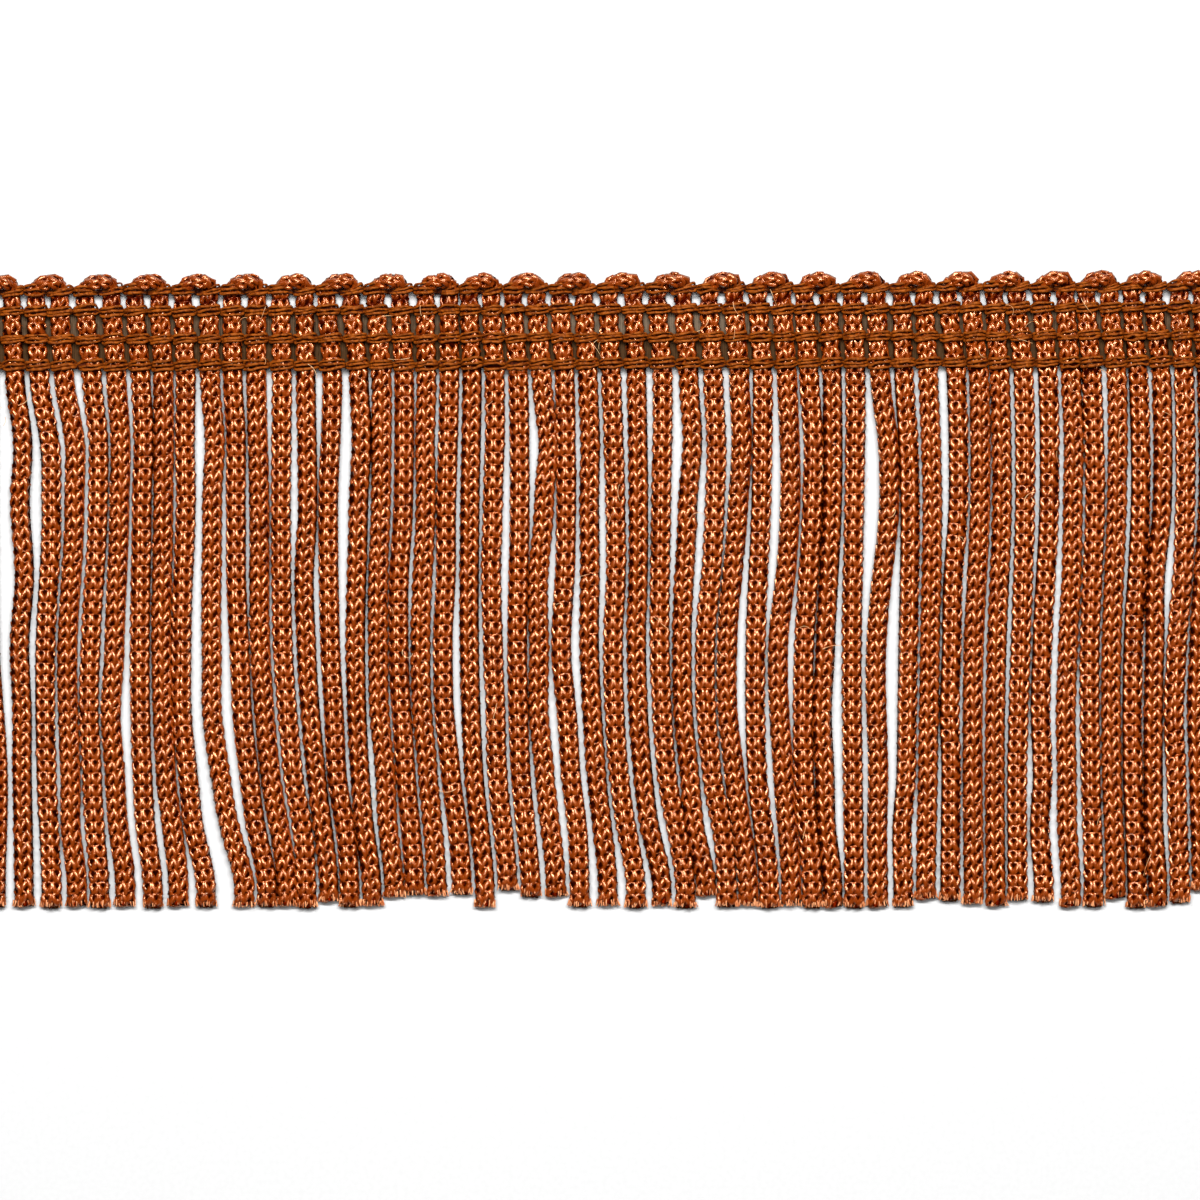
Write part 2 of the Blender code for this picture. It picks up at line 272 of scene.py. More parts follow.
def skin(rings):
    """Vertices and quads of a tube through rings of points (rings, sides, 3)."""
    count, sides = rings.shape[:2]
    first = np.arange(count - 1)[:, None] * sides
    here = np.arange(sides)[None, :]
    ahead = (here + 1) % sides
    quads = np.stack([first + here, first + ahead,
                      first + sides + ahead, first + sides + here], axis=2)
    return rings.reshape(-1, 3), quads.reshape(-1, 4)


def yarn_rings(line, radius, sides, outward, flat=1.0, start=0.0):
    """Rings of points round a yarn's centre line, and its lay (around, along in mm)."""
    tiny = 1e-12                  # keeps the lengths of the directions above nought
    tangent = np.gradient(line, axis=0)
    tangent /= np.linalg.norm(tangent, axis=1)[:, None] + tiny
    side = np.cross(tangent, outward)
    side /= np.linalg.norm(side, axis=1)[:, None] + tiny
    up = np.cross(side, tangent)
    turn = np.arange(sides) / sides * 2 * np.pi
    radius = np.broadcast_to(radius, len(line))[:, None, None]
    rings = line[:, None, :] + radius * (
        np.cos(turn)[None, :, None] * side[:, None, :]
        + flat * np.sin(turn)[None, :, None] * up[:, None, :])
    steps = np.linalg.norm(np.diff(line, axis=0), axis=1)
    along = start + np.concatenate([[0.0], np.cumsum(steps)])
    here = np.arange(sides) / sides
    ahead = here + 1 / sides
    a, b = along[:-1, None] + 0 * here, along[1:, None] + 0 * here
    corners = ((here, a), (ahead, a), (ahead, b), (here, b))
    lay = np.stack([np.stack([place + 0 * a, run], -1) for place, run in corners], axis=2)
    return rings, lay.reshape(-1, 4, 2)


def mesh_object(name, parts, materials):
    """One object from parts of (vertices in mm, quads, lay, material index)."""
    points, quads, lays, slots = zip(*parts)
    bases = np.cumsum([0] + [len(verts) for verts in points[:-1]])
    faces = np.concatenate([base + quad for base, quad in zip(bases, quads)])
    slots = np.repeat(slots, [len(quad) for quad in quads]).astype(np.int32)
    mesh = bpy.data.meshes.new(name)
    mesh.from_pydata((np.concatenate(points) * MM).tolist(), [], faces.tolist())
    mesh.polygons.foreach_set("material_index", slots)
    mesh.shade_smooth()
    layer = mesh.uv_layers.new(name="lay")
    layer.data.foreach_set("uv", np.concatenate(lays).astype(np.float32).ravel())
    for material in materials:
        mesh.materials.append(material)
    piece = bpy.data.objects.new(name, mesh)
    bpy.context.scene.collection.objects.link(piece)
    return piece


def store_height(piece, raised):
    """Keeps how high the yarn lies in its stitch, -1 to 1, for the painted shade between
    loops.
    """
    values = np.full(len(piece.data.vertices), -1.0, dtype=np.float32)
    values[:len(raised)] = raised
    layer = piece.data.attributes.new("raised", "FLOAT", "POINT")
    layer.data.foreach_set("value", values)


def dress(piece, slot, *nodes):
    """The piece rides on the trim and stands for its nodes; slot is not used."""
    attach(piece, BODY)
    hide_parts(*nodes)


# ---- settings ----
def in_mm(name, description, mm):
    """A setting that is a length, given in millimetres."""
    return FloatProperty(name=name, description=description, default=mm * MM,
                         unit="LENGTH", precision=5)


def as_share(name, description, value):
    """A setting that is a share of something, mostly 0 to 1."""
    return FloatProperty(name=name, description=description, default=value,
                         subtype="FACTOR")


def as_count(name, description, value, least):
    """A setting that is a whole number."""
    return IntProperty(name=name, description=description, default=value, min=least)


def as_number(name, description, value, **more):
    """Any other setting."""
    return FloatProperty(name=name, description=description, default=value, **more)


def as_colour(name, description, code):
    """A setting that is a colour, given as sRGB hex."""
    return FloatVectorProperty(name=name, description=description, size=3,
                               default=srgb(code)[:3], subtype="COLOR")


# ---- materials ----
def fit(tree, node, inputs):
    """Sets a node's inputs to values, or links them to other nodes' outputs."""
    for key, value in inputs.items():
        if isinstance(value, bpy.types.NodeSocket):
            tree.links.new(value, node.inputs[key])
        else:
            node.inputs[key].default_value = value


def add(tree, kind, inputs=None, **settings):
    """Adds a node with its settings, and fits its inputs."""
    made = tree.nodes.new(kind)
    for key, value in settings.items():
        setattr(made, key, value)
    fit(tree, made, inputs or {})
    return made


def calc(tree, operation, *values):
    """A sum, sine or the like of values or of nodes' outputs."""
    made = add(tree, "ShaderNodeMath", dict(enumerate(values)), operation=operation)
    return made.outputs[0]


def product(tree, first, *others):
    """The product of values or of nodes' outputs."""
    for other in others:
        first = calc(tree, "MULTIPLY", first, other)
    return first


def map_range(tree, value, low, high, start, stop, **settings):
    """A value between low and high, spread from start to stop."""
    made = add(tree, "ShaderNodeMapRange", {
        "Value": value, "From Min": low, "From Max": high,
        "To Min": start, "To Max": stop}, **settings)
    return made.outputs[0]


def grain(tree, place, size, detail):
    """Noise with grains of that size in mm."""
    made = add(tree, "ShaderNodeTexNoise", {
        "Vector": place, "Scale": 1 / (size * MM), "Detail": detail})
    return made.outputs["Fac"]


def bump(tree, strength, depth, height, normal=None):
    """Relief of that depth in mm, on top of another relief's normal if one is given."""
    made = add(tree, "ShaderNodeBump", {
        "Strength": strength, "Distance": depth * MM, "Height": height})
    if normal:
        tree.links.new(normal, made.inputs["Normal"])
    return made.outputs["Normal"]


def ramp(tree, value, first, last, middle=None):
    """A colour that runs from the first stop to the last; a stop is (place, colour)."""
    made = add(tree, "ShaderNodeValToRGB", {0: value})
    stops = made.color_ramp.elements
    for stop, (place, tone) in zip(stops, (first, last)):
        stop.position = place
        stop.color = (*tone[:3], 1.0)
    if middle:
        stops.new(middle[0]).color = (*middle[1][:3], 1.0)
    return made.outputs["Color"]


def new_material(name):
    """A material, its node tree and its shader."""
    material = bpy.data.materials.new(name)
    material.use_nodes = True
    return material, material.node_tree, material.node_tree.nodes["Principled BSDF"]


def on_trim(tree):
    """Where a point lies on the trim, in metres."""
    return add(tree, "ShaderNodeTexCoord").outputs["Object"]


def yarn_lay(tree):
    """Where a point lies on its yarn: round it, 0 to 1, and along it in mm."""
    uv = add(tree, "ShaderNodeUVMap", uv_map="lay")
    lay = add(tree, "ShaderNodeSeparateXYZ", {0: uv.outputs[0]})
    return lay.outputs["X"], lay.outputs["Y"]


def winding(tree, around, along, pitch):
    """How often the two plies have wound round the yarn at a point."""
    return calc(tree, "MULTIPLY_ADD", around, 2.0, product(tree, along, MM / pitch))


def ply_ridge(tree, wound):
    """How high a point lies on its ply: 0 between two plies, 1 on top of one."""
    return calc(tree, "ABSOLUTE", calc(tree, "SINE", product(tree, wound, math.pi)))


def knitted_rayon(look):
    """Viscose rayon, bright filament, loosely twisted and knitted into a tube.

    The eye gets a silky copper thread: a glint runs along the top of every loop, fine
    filaments break it up, and painted shade turns the yarn deep red brown between two loops.
    """
    material, tree, shader = new_material("bright_rayon_knitted")
    around, along = yarn_lay(tree)
    wound = winding(tree, around, along, look.twist_pitch)
    ridge = ply_ridge(tree, wound)
    # Real filaments are 0.02 mm thick, too fine to show; these bundles are about 0.08 mm.
    place = add(tree, "ShaderNodeCombineXYZ", {
        0: product(tree, wound, 4.0), 1: product(tree, along, 2.2)})
    filaments = add(tree, "ShaderNodeTexNoise", {
        "Vector": place.outputs[0], "Scale": 1.5, "Detail": 3.0}).outputs["Fac"]
    # The dye changes slowly, over a few stitches.
    dye = grain(tree, on_trim(tree), 3.0, 3.0)
    height = add(tree, "ShaderNodeAttribute", attribute_name="raised").outputs["Fac"]
    # Painted shade: the yarn is darker and redder where it lies deep between two loops and a
    # little lighter where it stands out; its glint is dimmed deep down.
    sunk = map_range(tree, height, -0.7, 0.7, look.painted_sunk_shade, 1.15,
                     interpolation_type="SMOOTHSTEP")
    # The tone is painted darker as shade in the line between two plies and deep in the stitch;
    # filaments and dye vary it at random.
    tone = product(
        tree, map_range(tree, ridge, 0.0, 1.0, look.ply_groove_shade, 1.0),
        map_range(tree, filaments, 0.3, 0.68, 0.35, 1.25),
        map_range(tree, dye, 0.3, 0.7, 0.75, 1.25), sunk)
    glint = map_range(tree, height, -0.6, 0.5, 0.0, look.gloss)
    # The crevice and shaded stops of the colour ramp are painted shade; the face stop is the
    # rayon's own colour.
    fit(tree, shader, {
        "Base Color": ramp(tree, tone, (0.0, look.crevice), (0.6, look.face),
                           (0.3, look.shaded)),
        "Normal": bump(tree, 1.0, 0.05, filaments, bump(tree, 0.4, 0.03, ridge)),
        "Roughness": map_range(tree, filaments, 0.3, 0.7, look.roughness,
                               look.roughness + 0.12),
        "IOR": look.ior,
        "Metallic": look.lustre,
        "Specular IOR Level": glint,
        "Specular Tint": srgb("FFE5B0"),
        "Coat Weight": product(tree, glint, look.coat),
        "Coat Roughness": 0.15})
    return material


def painted_shade_yarn(name, size, detail, deep, pale, inputs):
    """Yarn too deep to see its plies, painted dark as shade: grains of that size in mm, two
    tones.
    """
    material, tree, shader = new_material(name)
    loops = grain(tree, on_trim(tree), size, detail)
    fit(tree, shader, {
        "Base Color": ramp(tree, loops, deep, pale), "Normal": bump(tree, 0.8, 0.08, loops),
        **inputs})
    return material


def painted_shade_inside(look):
    """The inside of the knitted tube: the same rayon painted dark as shade, seen through the
    slits.
    """
    return painted_shade_yarn(
        "rayon_tube_painted_shade", 0.25, 2.0, (0.35, srgb("0C0100")), (0.7, look.inside),
        {"Roughness": 0.8, "IOR": TEXTILE_IOR, "Specular IOR Level": 0.0})


def plied_cotton(look):
    """Cotton crochet yarn, spun, twisted from two plies and not glazed.

    The eye gets a dull rust thread, short slanting ply marks painted as shade, and a soft
    fuzz.
    """
    material, tree, shader = new_material("matt_cotton_plied")
    spot = on_trim(tree)
    around, along = yarn_lay(tree)
    # Crochet leaves the twist tight in one place and slack in the next.
    slack = grain(tree, spot, 0.6, 2.0)
    wound = winding(tree, around, along, look.ply_pitch)
    ridge = ply_ridge(tree, calc(tree, "MULTIPLY_ADD", slack, 3.0, wound))
    fuzz = grain(tree, spot, 0.12, 3.0)
    # The ply marks are painted shade between the plies; slack and fuzz vary the tone at
    # random.
    tone = product(
        tree, map_range(tree, ridge, 0.0, 1.0, look.ply_mark_shade, 1.0),
        map_range(tree, slack, 0.35, 0.65, 0.65, 1.15),
        map_range(tree, fuzz, 0.3, 0.7, 0.5, 1.2))
    fit(tree, shader, {
        "Base Color": ramp(tree, tone, (0.1, look.ply_shade), (0.8, look.ply_face)),
        "Normal": bump(tree, 0.5, 0.05, fuzz, bump(tree, 0.4, 0.05, ridge)),
        "Roughness": 0.55,
        "IOR": TEXTILE_IOR,
        "Specular IOR Level": look.cotton_gloss,
        "Specular Tint": srgb("FFBC80")})
    return material


def painted_shade_cotton(look):
    """The same cotton deep in the crochet, painted dark brown as the shade it lies in."""
    return painted_shade_yarn(
        "matt_cotton_painted_shade", 0.2, 3.0, (0.35, srgb("1C0500")), (0.65, look.ply_shade),
        {"Roughness": 0.9, "Specular IOR Level": 0.1})


def back_threads(look):
    """The same cotton on the back of the crochet, always in shade: its brown is painted shade.
    """
    material, tree, shader = new_material("cotton_back_threads_painted_shade")
    spot = on_trim(tree)
    along = yarn_lay(tree)[1]
    streak = add(tree, "ShaderNodeMapping", {"Vector": spot, "Scale": (1.0, 0.25, 1.0)})
    threads = grain(tree, streak.outputs[0], 0.15, 3.0)
    # Painted shade: paler in the upper windows round the middle, darker in the lower ones and
    # aside.
    down = map_range(tree, along, 1.5, 2.3, 0.0, 1.0)
    place = add(tree, "ShaderNodeSeparateXYZ", {0: spot})
    away = calc(tree, "SUBTRACT", place.outputs["X"], 2.2 * MM)
    aside = map_range(tree, calc(tree, "ABSOLUTE", away), 7 * MM, 14 * MM, 0.0, 0.7)
    tone = calc(tree, "ADD", calc(tree, "MAXIMUM", down, aside),
                map_range(tree, threads, 0.3, 0.7, -0.12, 0.12))
    fit(tree, shader, {
        "Base Color": ramp(tree, tone, (0.0, look.back), (1.0, srgb("35220F"))),
        "Normal": bump(tree, 0.5, 0.05, threads),
        "Roughness": 0.9,
        "Specular IOR Level": 0.1})
    return material


def loose_fibre(name, pale, deep):
    """Rayon filament on its own: a fine hair, paler than the yarn since light goes through."""
    material, tree, shader = new_material(name)
    uv = add(tree, "ShaderNodeUVMap", uv_map="lay")
    tone = add(tree, "ShaderNodeTexNoise", {
        "Vector": uv.outputs[0], "Scale": 1.5, "Detail": 1.0})
    fit(tree, shader, {
        "Base Color": ramp(tree, tone.outputs["Fac"], (0.35, srgb(deep)),
                           (0.65, srgb(pale))),
        "Roughness": 0.35,
        "IOR": TEXTILE_IOR})
    return material


def pale_paper(tone):
    """Smooth white backing paper: matt, with a hint of tooth."""
    material, tree, shader = new_material("matt_white_paper")
    tooth = grain(tree, on_trim(tree), 0.4, 2.0)
    shade = map_range(tree, tooth, 0.3, 0.7, 0.96, 1.0)
    paper = add(tree, "ShaderNodeMix", {
        "Factor": 1.0, "A": (*tone, 1.0), "B": shade},
        data_type="RGBA", blend_type="MULTIPLY")
    fit(tree, shader, {"Base Color": paper.outputs["Result"], "Roughness": 0.85})
    return material


# ---- the knitted cord ----
LONE = 9.0                    # mm that count as no neighbour at all
LINE_STEP = 4.0               # layout units between two points of a cord's centre line
FLOOR_GAP = 0.07              # mm between the cord's underside and the floor

# Just below the heading, strands a little further apart still touch, with painted shade
# between them.
ROOT_REACH = 100.0            # layout units
ROOT_NEAR = 0.07              # mm

# The cord in the heading: half its width, half its thickness in the lower windows and where
# it is tied, and what ties and the dull place between the top rows take off its width, all
# in mm.
HEADING_HALF_W = 1.02
LOWER_HALF_T, TIED_HALF_T = 0.62, 0.50
TIE_SQUEEZE, DULL_SQUEEZE = 0.03, 0.06
# Layout units in which it takes that shape, and over which ties and dull places reach.
HEADING_EASE = 8.0
TIE_REACH, DULL_REACH = 5.0, 9.0

# The cut flattens the strand by this share over its last few layout units.
CUT_EASE = 12.0
CUT_PRESS = 0.35

# The scallop: its rise and lean in layout units, a power below 1 that makes it fuller than
# round, and in mm its half width and thickness, each with the gain at its top, and how far
# it lifts off the floor.
BEND_POINTS = 13
BEND_RISE = 7.6
BEND_LEAN = 5.0
BEND_FULLNESS = 0.6
BEND_HALF_W, BEND_WIDER = 0.80, 0.04
BEND_HALF_T, BEND_THICKER = 0.50, 0.19
BEND_LIFT = 0.55
# The dark inside lies this much deeper there, in mm, and the scallop is where the cord's
# side turns by more than this from one point to the next.
BEND_NARROWER, BEND_THINNER = 0.10, 0.12
TURNING = 0.05

# How unevenly the yarn is knitted: the loops' length as a share, the yarn's place along and
# out of the cord in mm, and its place round the cord and a strand's turn as shares of the
# girth.
LOOP_STRAY = 0.05
ALONG_STRAY, RISE_STRAY = 0.018, 0.02
ROUND_STRAY, TURN_STRAY = 0.016, 0.06
COURSE_START = 0.35           # share of a course; so the first and the last reach the cut
LAY_CHANGE = 1.0              # mm of the scallop in which one lay gives way to the other
# The yarn between the two top rows is painted in shade as if sunk this deep.
DULL_DEPTH = 0.55             # how deep the yarn counts as sunk between the two top rows

YARN_APART = 2000.0           # mm between two hairpins' lays, so that their twist differs
HAIRPIN_SEED = 100


def knit_settings():
    """The panel's settings for the knitted cord."""
    return bpy.context.scene.fringe_cord


def spacing(index, y):
    """Distances in mm from a strand to the ones before and after it at y."""
    here = lies_at(STRANDS[index], y)
    return [abs(lies_at(STRANDS[other], y) - here) * UNIT
            if 0 <= other < len(STRANDS) else LONE
            for other in (index - 1, index + 1)]


def half_width(index, y):
    """Half a strand's outer width in mm, less where its neighbour lies close."""
    look = knit_settings()
    return min(look.cord_width / MM / 2, *(
        (near + look.overlap / MM) / 2 for near in spacing(index, y)))


def shade_reach(index, y):
    """How far in mm the painted shade under the loops reaches to each side, where strands
    touch.
    """
    look = knit_settings()
    if y < HEADING_FOOT_Y:
        return [0.0, 0.0]
    rooted = max(1 - (y - HEADING_FOOT_Y) / ROOT_REACH, 0.0)
    limit = look.touching / MM + ROOT_NEAR * rooted
    return [near / 2 if near < limit else 0.0 for near in spacing(index, y)]


def tie_grip(y):
    """How firmly a chain row grips the cord at y, 0 to 1."""
    return max(float(bell(y - row.y, TIE_REACH)) for row in CHAIN_ROWS)


def dulled(y):
    """How deep in painted shade the cord lies between the two top chain rows, 0 to 1."""
    return float(bell(y - (CHAIN_ROWS[0].y + CHAIN_ROWS[1].y) / 2, DULL_REACH))


Cord = namedtuple("Cord", "length place side half_w half_t bend dull before after")


def cord_section(index, y):
    """Outer half width and half thickness in mm of a cord at y."""
    look = knit_settings()
    half_w = half_width(index, y)
    half_t = look.cord_thickness / MM / 2
    if y < HEADING_FOOT_Y:
        inside = min((HEADING_FOOT_Y - y) / HEADING_EASE, 1.0)
        grip = tie_grip(y)
        half_w = min(half_w, half_w + (HEADING_HALF_W - half_w) * inside)
        half_w = half_w - TIE_SQUEEZE * grip - DULL_SQUEEZE * dulled(y)
        full = LOWER_HALF_T if y > CHAIN_ROWS[1].y else TIED_HALF_T
        half_t = half_t + (full - half_t) * inside - (full - TIED_HALF_T) * grip
    cut = 1 - (STRANDS[index].end - y) / CUT_EASE
    if cut > 0:
        half_t *= 1 - CUT_PRESS * cut
    return half_w, half_t


def strand_point(index, y):
    """A point of a strand's centre line: its place, section, bend, shade and reaches."""
    return (lies_at(STRANDS[index], y), y, *cord_section(index, y), 0.0, dulled(y),
            *shade_reach(index, y))


def hairpin_course(index, turned):
    """Centre line and section of one hairpin, from its first cut end to its last."""
    left, right = STRANDS[2 * index], STRANDS[2 * index + 1]
    top_left = BEND_Y + drift(left.heading)
    top_right = BEND_Y + drift(right.heading)
    rows = [strand_point(2 * index, y) for y in np.arange(left.end, top_left, -LINE_STEP)]
    middle = (left.heading + right.heading) / 2
    reach = (right.heading - left.heading) / 2
    for turn in np.linspace(0.0, math.pi, BEND_POINTS):
        share = (1 - math.cos(turn)) / 2
        bend = math.sin(turn)
        foot = top_left + (top_right - top_left) * share
        x = middle - reach * math.cos(turn) + BEND_LEAN * bend
        y = foot - BEND_RISE * max(bend, 0.0) ** BEND_FULLNESS
        rows.append((x, y, BEND_HALF_W + BEND_WIDER * bend, BEND_HALF_T + BEND_THICKER * bend,
                     bend, dulled(y), 0.0, 0.0))
    down = np.arange(top_right + LINE_STEP, right.end + LINE_STEP / 2, LINE_STEP)
    rows += [strand_point(2 * index + 1, y) for y in down]
    if turned:
        rows.reverse()
    table = np.array(rows)
    x, y = to_mm(table[:, 0], table[:, 1])
    z = table[:, 3] + FLOOR_GAP + BEND_LIFT * table[:, 4] ** 0.5
    place = np.stack([x, y, z], axis=1)
    steps = np.linalg.norm(np.diff(place[:, :2], axis=0), axis=1)
    length = np.concatenate([[0.0], np.cumsum(steps)])
    tangent = np.gradient(place[:, :2], length, axis=0)
    tangent /= np.linalg.norm(tangent, axis=1)[:, None]
    side = np.stack([-tangent[:, 1], tangent[:, 0], 0 * length], axis=1)
    return Cord(length, place, side, *table[:, 2:].T)


def flat_oval(share, wide, thick):
    """Angle on an oval of those half axes, share of its girth away from its top."""
    turn = np.linspace(0.0, 2 * np.pi, 721)
    girth = np.hypot(np.diff(wide * np.sin(turn)), np.diff(thick * np.cos(turn)))
    run = np.concatenate([[0.0], np.cumsum(girth)])
    return np.interp((share % 1.0) * run[-1], run, turn), run[-1]


def knit_line(cord, lays, rng):
    """Centre line of the yarn through every stitch of a cord, and its outward side."""
    look = knit_settings()
    wales = look.wales
    course = look.course / MM
    yarn = look.yarn_radius / MM
    relief = look.relief / MM
    total = cord.length[-1]
    courses = int(total / course)
    course = total / courses
    # The face is knitted finer than the back, which lies on the floor.
    facing = [math.cos(2 * math.pi * ((wale + 0.5) / wales + look.seam_turn)) > 0
              for wale in range(wales)]
    spots = np.concatenate([
        wale + np.linspace(0.0, 1.0, look.steps if front else look.back_steps, endpoint=False)
        for wale, front in enumerate(facing)])
    t = np.append((np.arange(courses)[:, None] * wales + spots).ravel(), courses * wales)
    stitches = courses * wales
    u = t % 1.0
    number = np.floor(t / wales)
    in_course = t - number * wales
    share = 1 / (1 + np.exp(((number + 0.5) * course - total / 2) / LAY_CHANGE))
    slant = share * (lays[0] == SLANT) + (1 - share) * (lays[1] == SLANT)
    reach = look.loop_reach / MM * (1 + wander(rng, stitches, LOOP_STRAY, t))
    q = -reach * np.cos(2 * np.pi * u)
    along = course * (number + COURSE_START) + q
    along += (in_course - wales / 2) * slant * look.slant_drift / MM
    along += wander(rng, 2 * stitches, ALONG_STRAY, 2 * t)
    along = np.clip(along, 0.0, total)

    def here(values):
        """The cord's values where the yarn lies along it."""
        return np.interp(along, cord.length, values)

    bend = here(cord.bend)
    swing = look.swing + look.bend_swing * bend
    wide = look.cord_width / MM / 2 - yarn - relief
    thick = look.cord_thickness / MM / 2 - yarn - relief
    girth = flat_oval(np.zeros(1), wide, thick)[1]
    across = (t + swing * np.sin(4 * np.pi * u)) / wales
    across += wander(rng, 2 * stitches, ROUND_STRAY, 2 * t)
    across += -look.slant_lean * slant * q / girth
    # No two strands show the same side of their tube.
    turned = look.seam_turn + share * rng.uniform(-TURN_STRAY, TURN_STRAY)
    turned += (1 - share) * rng.uniform(-TURN_STRAY, TURN_STRAY)
    turn, _ = flat_oval(across + turned, wide, thick)
    rise = -relief * np.cos(4 * np.pi * u) - look.tuck / MM * np.cos(2 * np.pi * u)
    rise += wander(rng, 2 * stitches, RISE_STRAY, 2 * t)
    place, side = (np.stack([here(values) for values in table.T], axis=1)
                   for table in (cord.place, cord.side))
    inset = yarn + relief
    x = (here(cord.half_w) - inset) * np.sin(turn)
    z = (here(cord.half_t) - inset) * np.cos(turn)
    nx, nz = np.sin(turn) / wide, np.cos(turn) / thick
    size = np.hypot(nx, nz)
    nx, nz = nx / size, nz / size
    upright = np.array([0.0, 0.0, 1.0])
    outward = side * nx[:, None] + upright * nz[:, None]
    # The yarn between the two top chain rows counts as sunk, for painted shade there.
    raised = rise / (look.relief + look.tuck) * MM - DULL_DEPTH * here(cord.dull)
    # 1 at the two folds of the flattened tube, nearly 0 on its face and back.
    fold = np.sin(turn) ** 6
    rise *= (1 - look.fold_press * fold) * (1 + look.bend_relief * bend)
    line = place + side * x[:, None] + upright * z[:, None] + outward * rise[:, None]
    full = 1 - look.taper * np.cos(4 * np.pi * u) + look.foot_spread * np.cos(2 * np.pi * u)
    full *= 1 + look.bend_swell * bend
    full *= 1 + look.fold_swell * fold
    return line, outward, yarn * full, raised


def painted_shade_tube(cord, sides=8, every=4):
    """A tube a little inside the knitting, painted dark as the shade seen through the slits.

    It is drawn on every few points of the centre line, and on all of them in the scallop.
    """
    look = knit_settings()
    inset = look.inside_depth / MM
    keep = np.arange(0, len(cord.length), every)
    bend = np.where(np.abs(np.gradient(cord.side[:, 0])) > TURNING)[0]
    keep = np.unique(np.concatenate([keep, bend, [len(cord.length) - 1]]))
    turn = np.arange(sides) / sides * 2 * np.pi
    place, side = cord.place[keep], cord.side[keep]
    wide = cord.half_w[keep] - inset - look.side_depth / MM - BEND_NARROWER * cord.bend[keep]
    thick = cord.half_t[keep] - inset - BEND_THINNER * cord.bend[keep]
    # Where two strands touch, the painted shade reaches over to the neighbour as the shadow
    # between them.
    to_right = np.sin(turn) * side[:, :1] > 0
    reach = np.where(to_right, cord.after[keep, None], cord.before[keep, None])
    wide = np.maximum(wide[:, None], reach)
    rings = (place[:, None, :]
             + side[:, None, :] * (wide * np.sin(turn))[:, :, None]
             + np.array([0.0, 0.0, 1.0]) * (thick[:, None] * np.cos(turn))[:, :, None])
    first = rings[:1].mean(axis=1, keepdims=True) + 0 * rings[:1]
    last = rings[-1:].mean(axis=1, keepdims=True) + 0 * rings[-1:]
    rings = np.concatenate([first, rings, last])
    points, quads = skin(rings)
    return points, quads, np.zeros((len(quads), 4, 2))


class FringeCordSettings(bpy.types.PropertyGroup):
    """Sizes and colours of the knitted rayon cord."""
    cord_width: in_mm("Cord width", "Outer width of a strand lying flat", 2.10)
    cord_thickness: in_mm("Cord thickness", "Height of a strand lying flat", 1.18)
    overlap: in_mm(
        "Overlap", "How far loops of close strands may reach into each other", 0.54)
    yarn_radius: in_mm(
        "Yarn radius", "Radius of the yarn that the cord is knitted from", 0.235)
    flatness: as_share("Flatness", "Thickness of the yarn as a share of its width", 0.75)
    wales: as_count("Wales", "Columns of stitches round the cord", 4, 3)
    steps: as_count("Steps", "Points along the yarn for each stitch of the face", 10, 6)
    back_steps: as_count(
        "Back steps", "Points along the yarn for each stitch of the back", 6, 4)
    sides: as_count("Sides", "Sides of the yarn's section", 4, 3)
    course: in_mm("Course", "Height of one course of stitches", 12.1 * UNIT)
    loop_reach: in_mm("Loop reach", "Half the length of a loop along the cord", 0.64)
    relief: in_mm("Relief", "How far a loop's legs stand out over its head", 0.14)
    tuck: in_mm("Tuck", "How much deeper a loop's foot lies than its head", 0.13)
    swing: as_share(
        "Swing", "How far a loop's legs swing apart, as a share of a wale", 0.33)
    slant_drift: in_mm(
        "Slant drift", "Climb of a slanting course from wale to wale", -3.1 * UNIT)
    slant_lean: as_share(
        "Slant lean", "How much the loops of a slanting course lean", 0.08)
    seam_turn: as_share(
        "Seam turn", "Where a course starts, as a share of the girth", 0.51)
    inside_depth: in_mm(
        "Inside depth", "How deep the shaded inside lies under the loops", 0.25)
    side_depth: in_mm(
        "Side depth", "How much deeper the inside lies at the cord's sides", 0.03)
    # Where strands lie closer than this, the dark inside tube reaches across as painted
    # shadow.
    touching: in_mm("Touching", "Strands that lie closer than this touch", 20.4 * UNIT)
    fold_swell: as_share(
        "Fold swell", "How much fuller the yarn is where the tube folds", 0.1)
    fold_press: as_share(
        "Fold press", "How much of the relief is pressed flat at the sides", 0.8)
    bend_swell: as_share(
        "Bend swell", "How much fuller the yarn is in a scallop", -0.08)
    bend_relief: as_share(
        "Bend relief", "How much more the loops stand out in a scallop", 0.05)
    bend_swing: as_share(
        "Bend swing", "How much more the legs swing in a scallop", 0.07)
    foot_spread: as_share(
        "Foot spread", "How much wider the yarn lies at a loop's foot", 0.12)
    taper: as_share("Taper", "How much thinner the yarn is at a loop's ends", 0.08)
    twist_pitch: in_mm("Twist pitch", "Length of one turn of the yarn's twist", 1.4)
    lustre: as_share(
        "Lustre", "Share of the light that filaments send back coloured", 0.3)
    # Solid rayon has about 1.53; bundled filaments in one surface glint more strongly.
    ior: as_number("IOR", "Index of refraction of the bundled rayon", 1.7)
    coat: as_share("Coat", "Clear glint over the filaments", 0.25)
    roughness: as_share("Roughness", "Roughness of the smoothest filaments", 0.14)
    # Painted shade: the tone left where the yarn lies deep in its stitch.
    painted_sunk_shade: as_share(
        "Sunk tone", "Tone left where the yarn lies deep in its stitch", 0.2)
    # Painted shade in the line between two plies.
    ply_groove_shade: as_share("Ply depth", "Tone left in the line between two plies", 0.7)
    gloss: as_share("Gloss", "Strength of the white glint on the filaments", 0.92)
    face: as_colour("Face colour", "Colour of the rayon where it faces out", "883504")
    # The crevice, shaded and inside colours are painted shade.
    crevice: as_colour(
        "Crevice colour", "Colour of the rayon between its filaments", "240000")
    shaded: as_colour("Shaded colour", "Colour of the rayon a little way down", "4E0F00")
    inside: as_colour("Inside colour", "Colour of the inside of the tube", "2A0400")


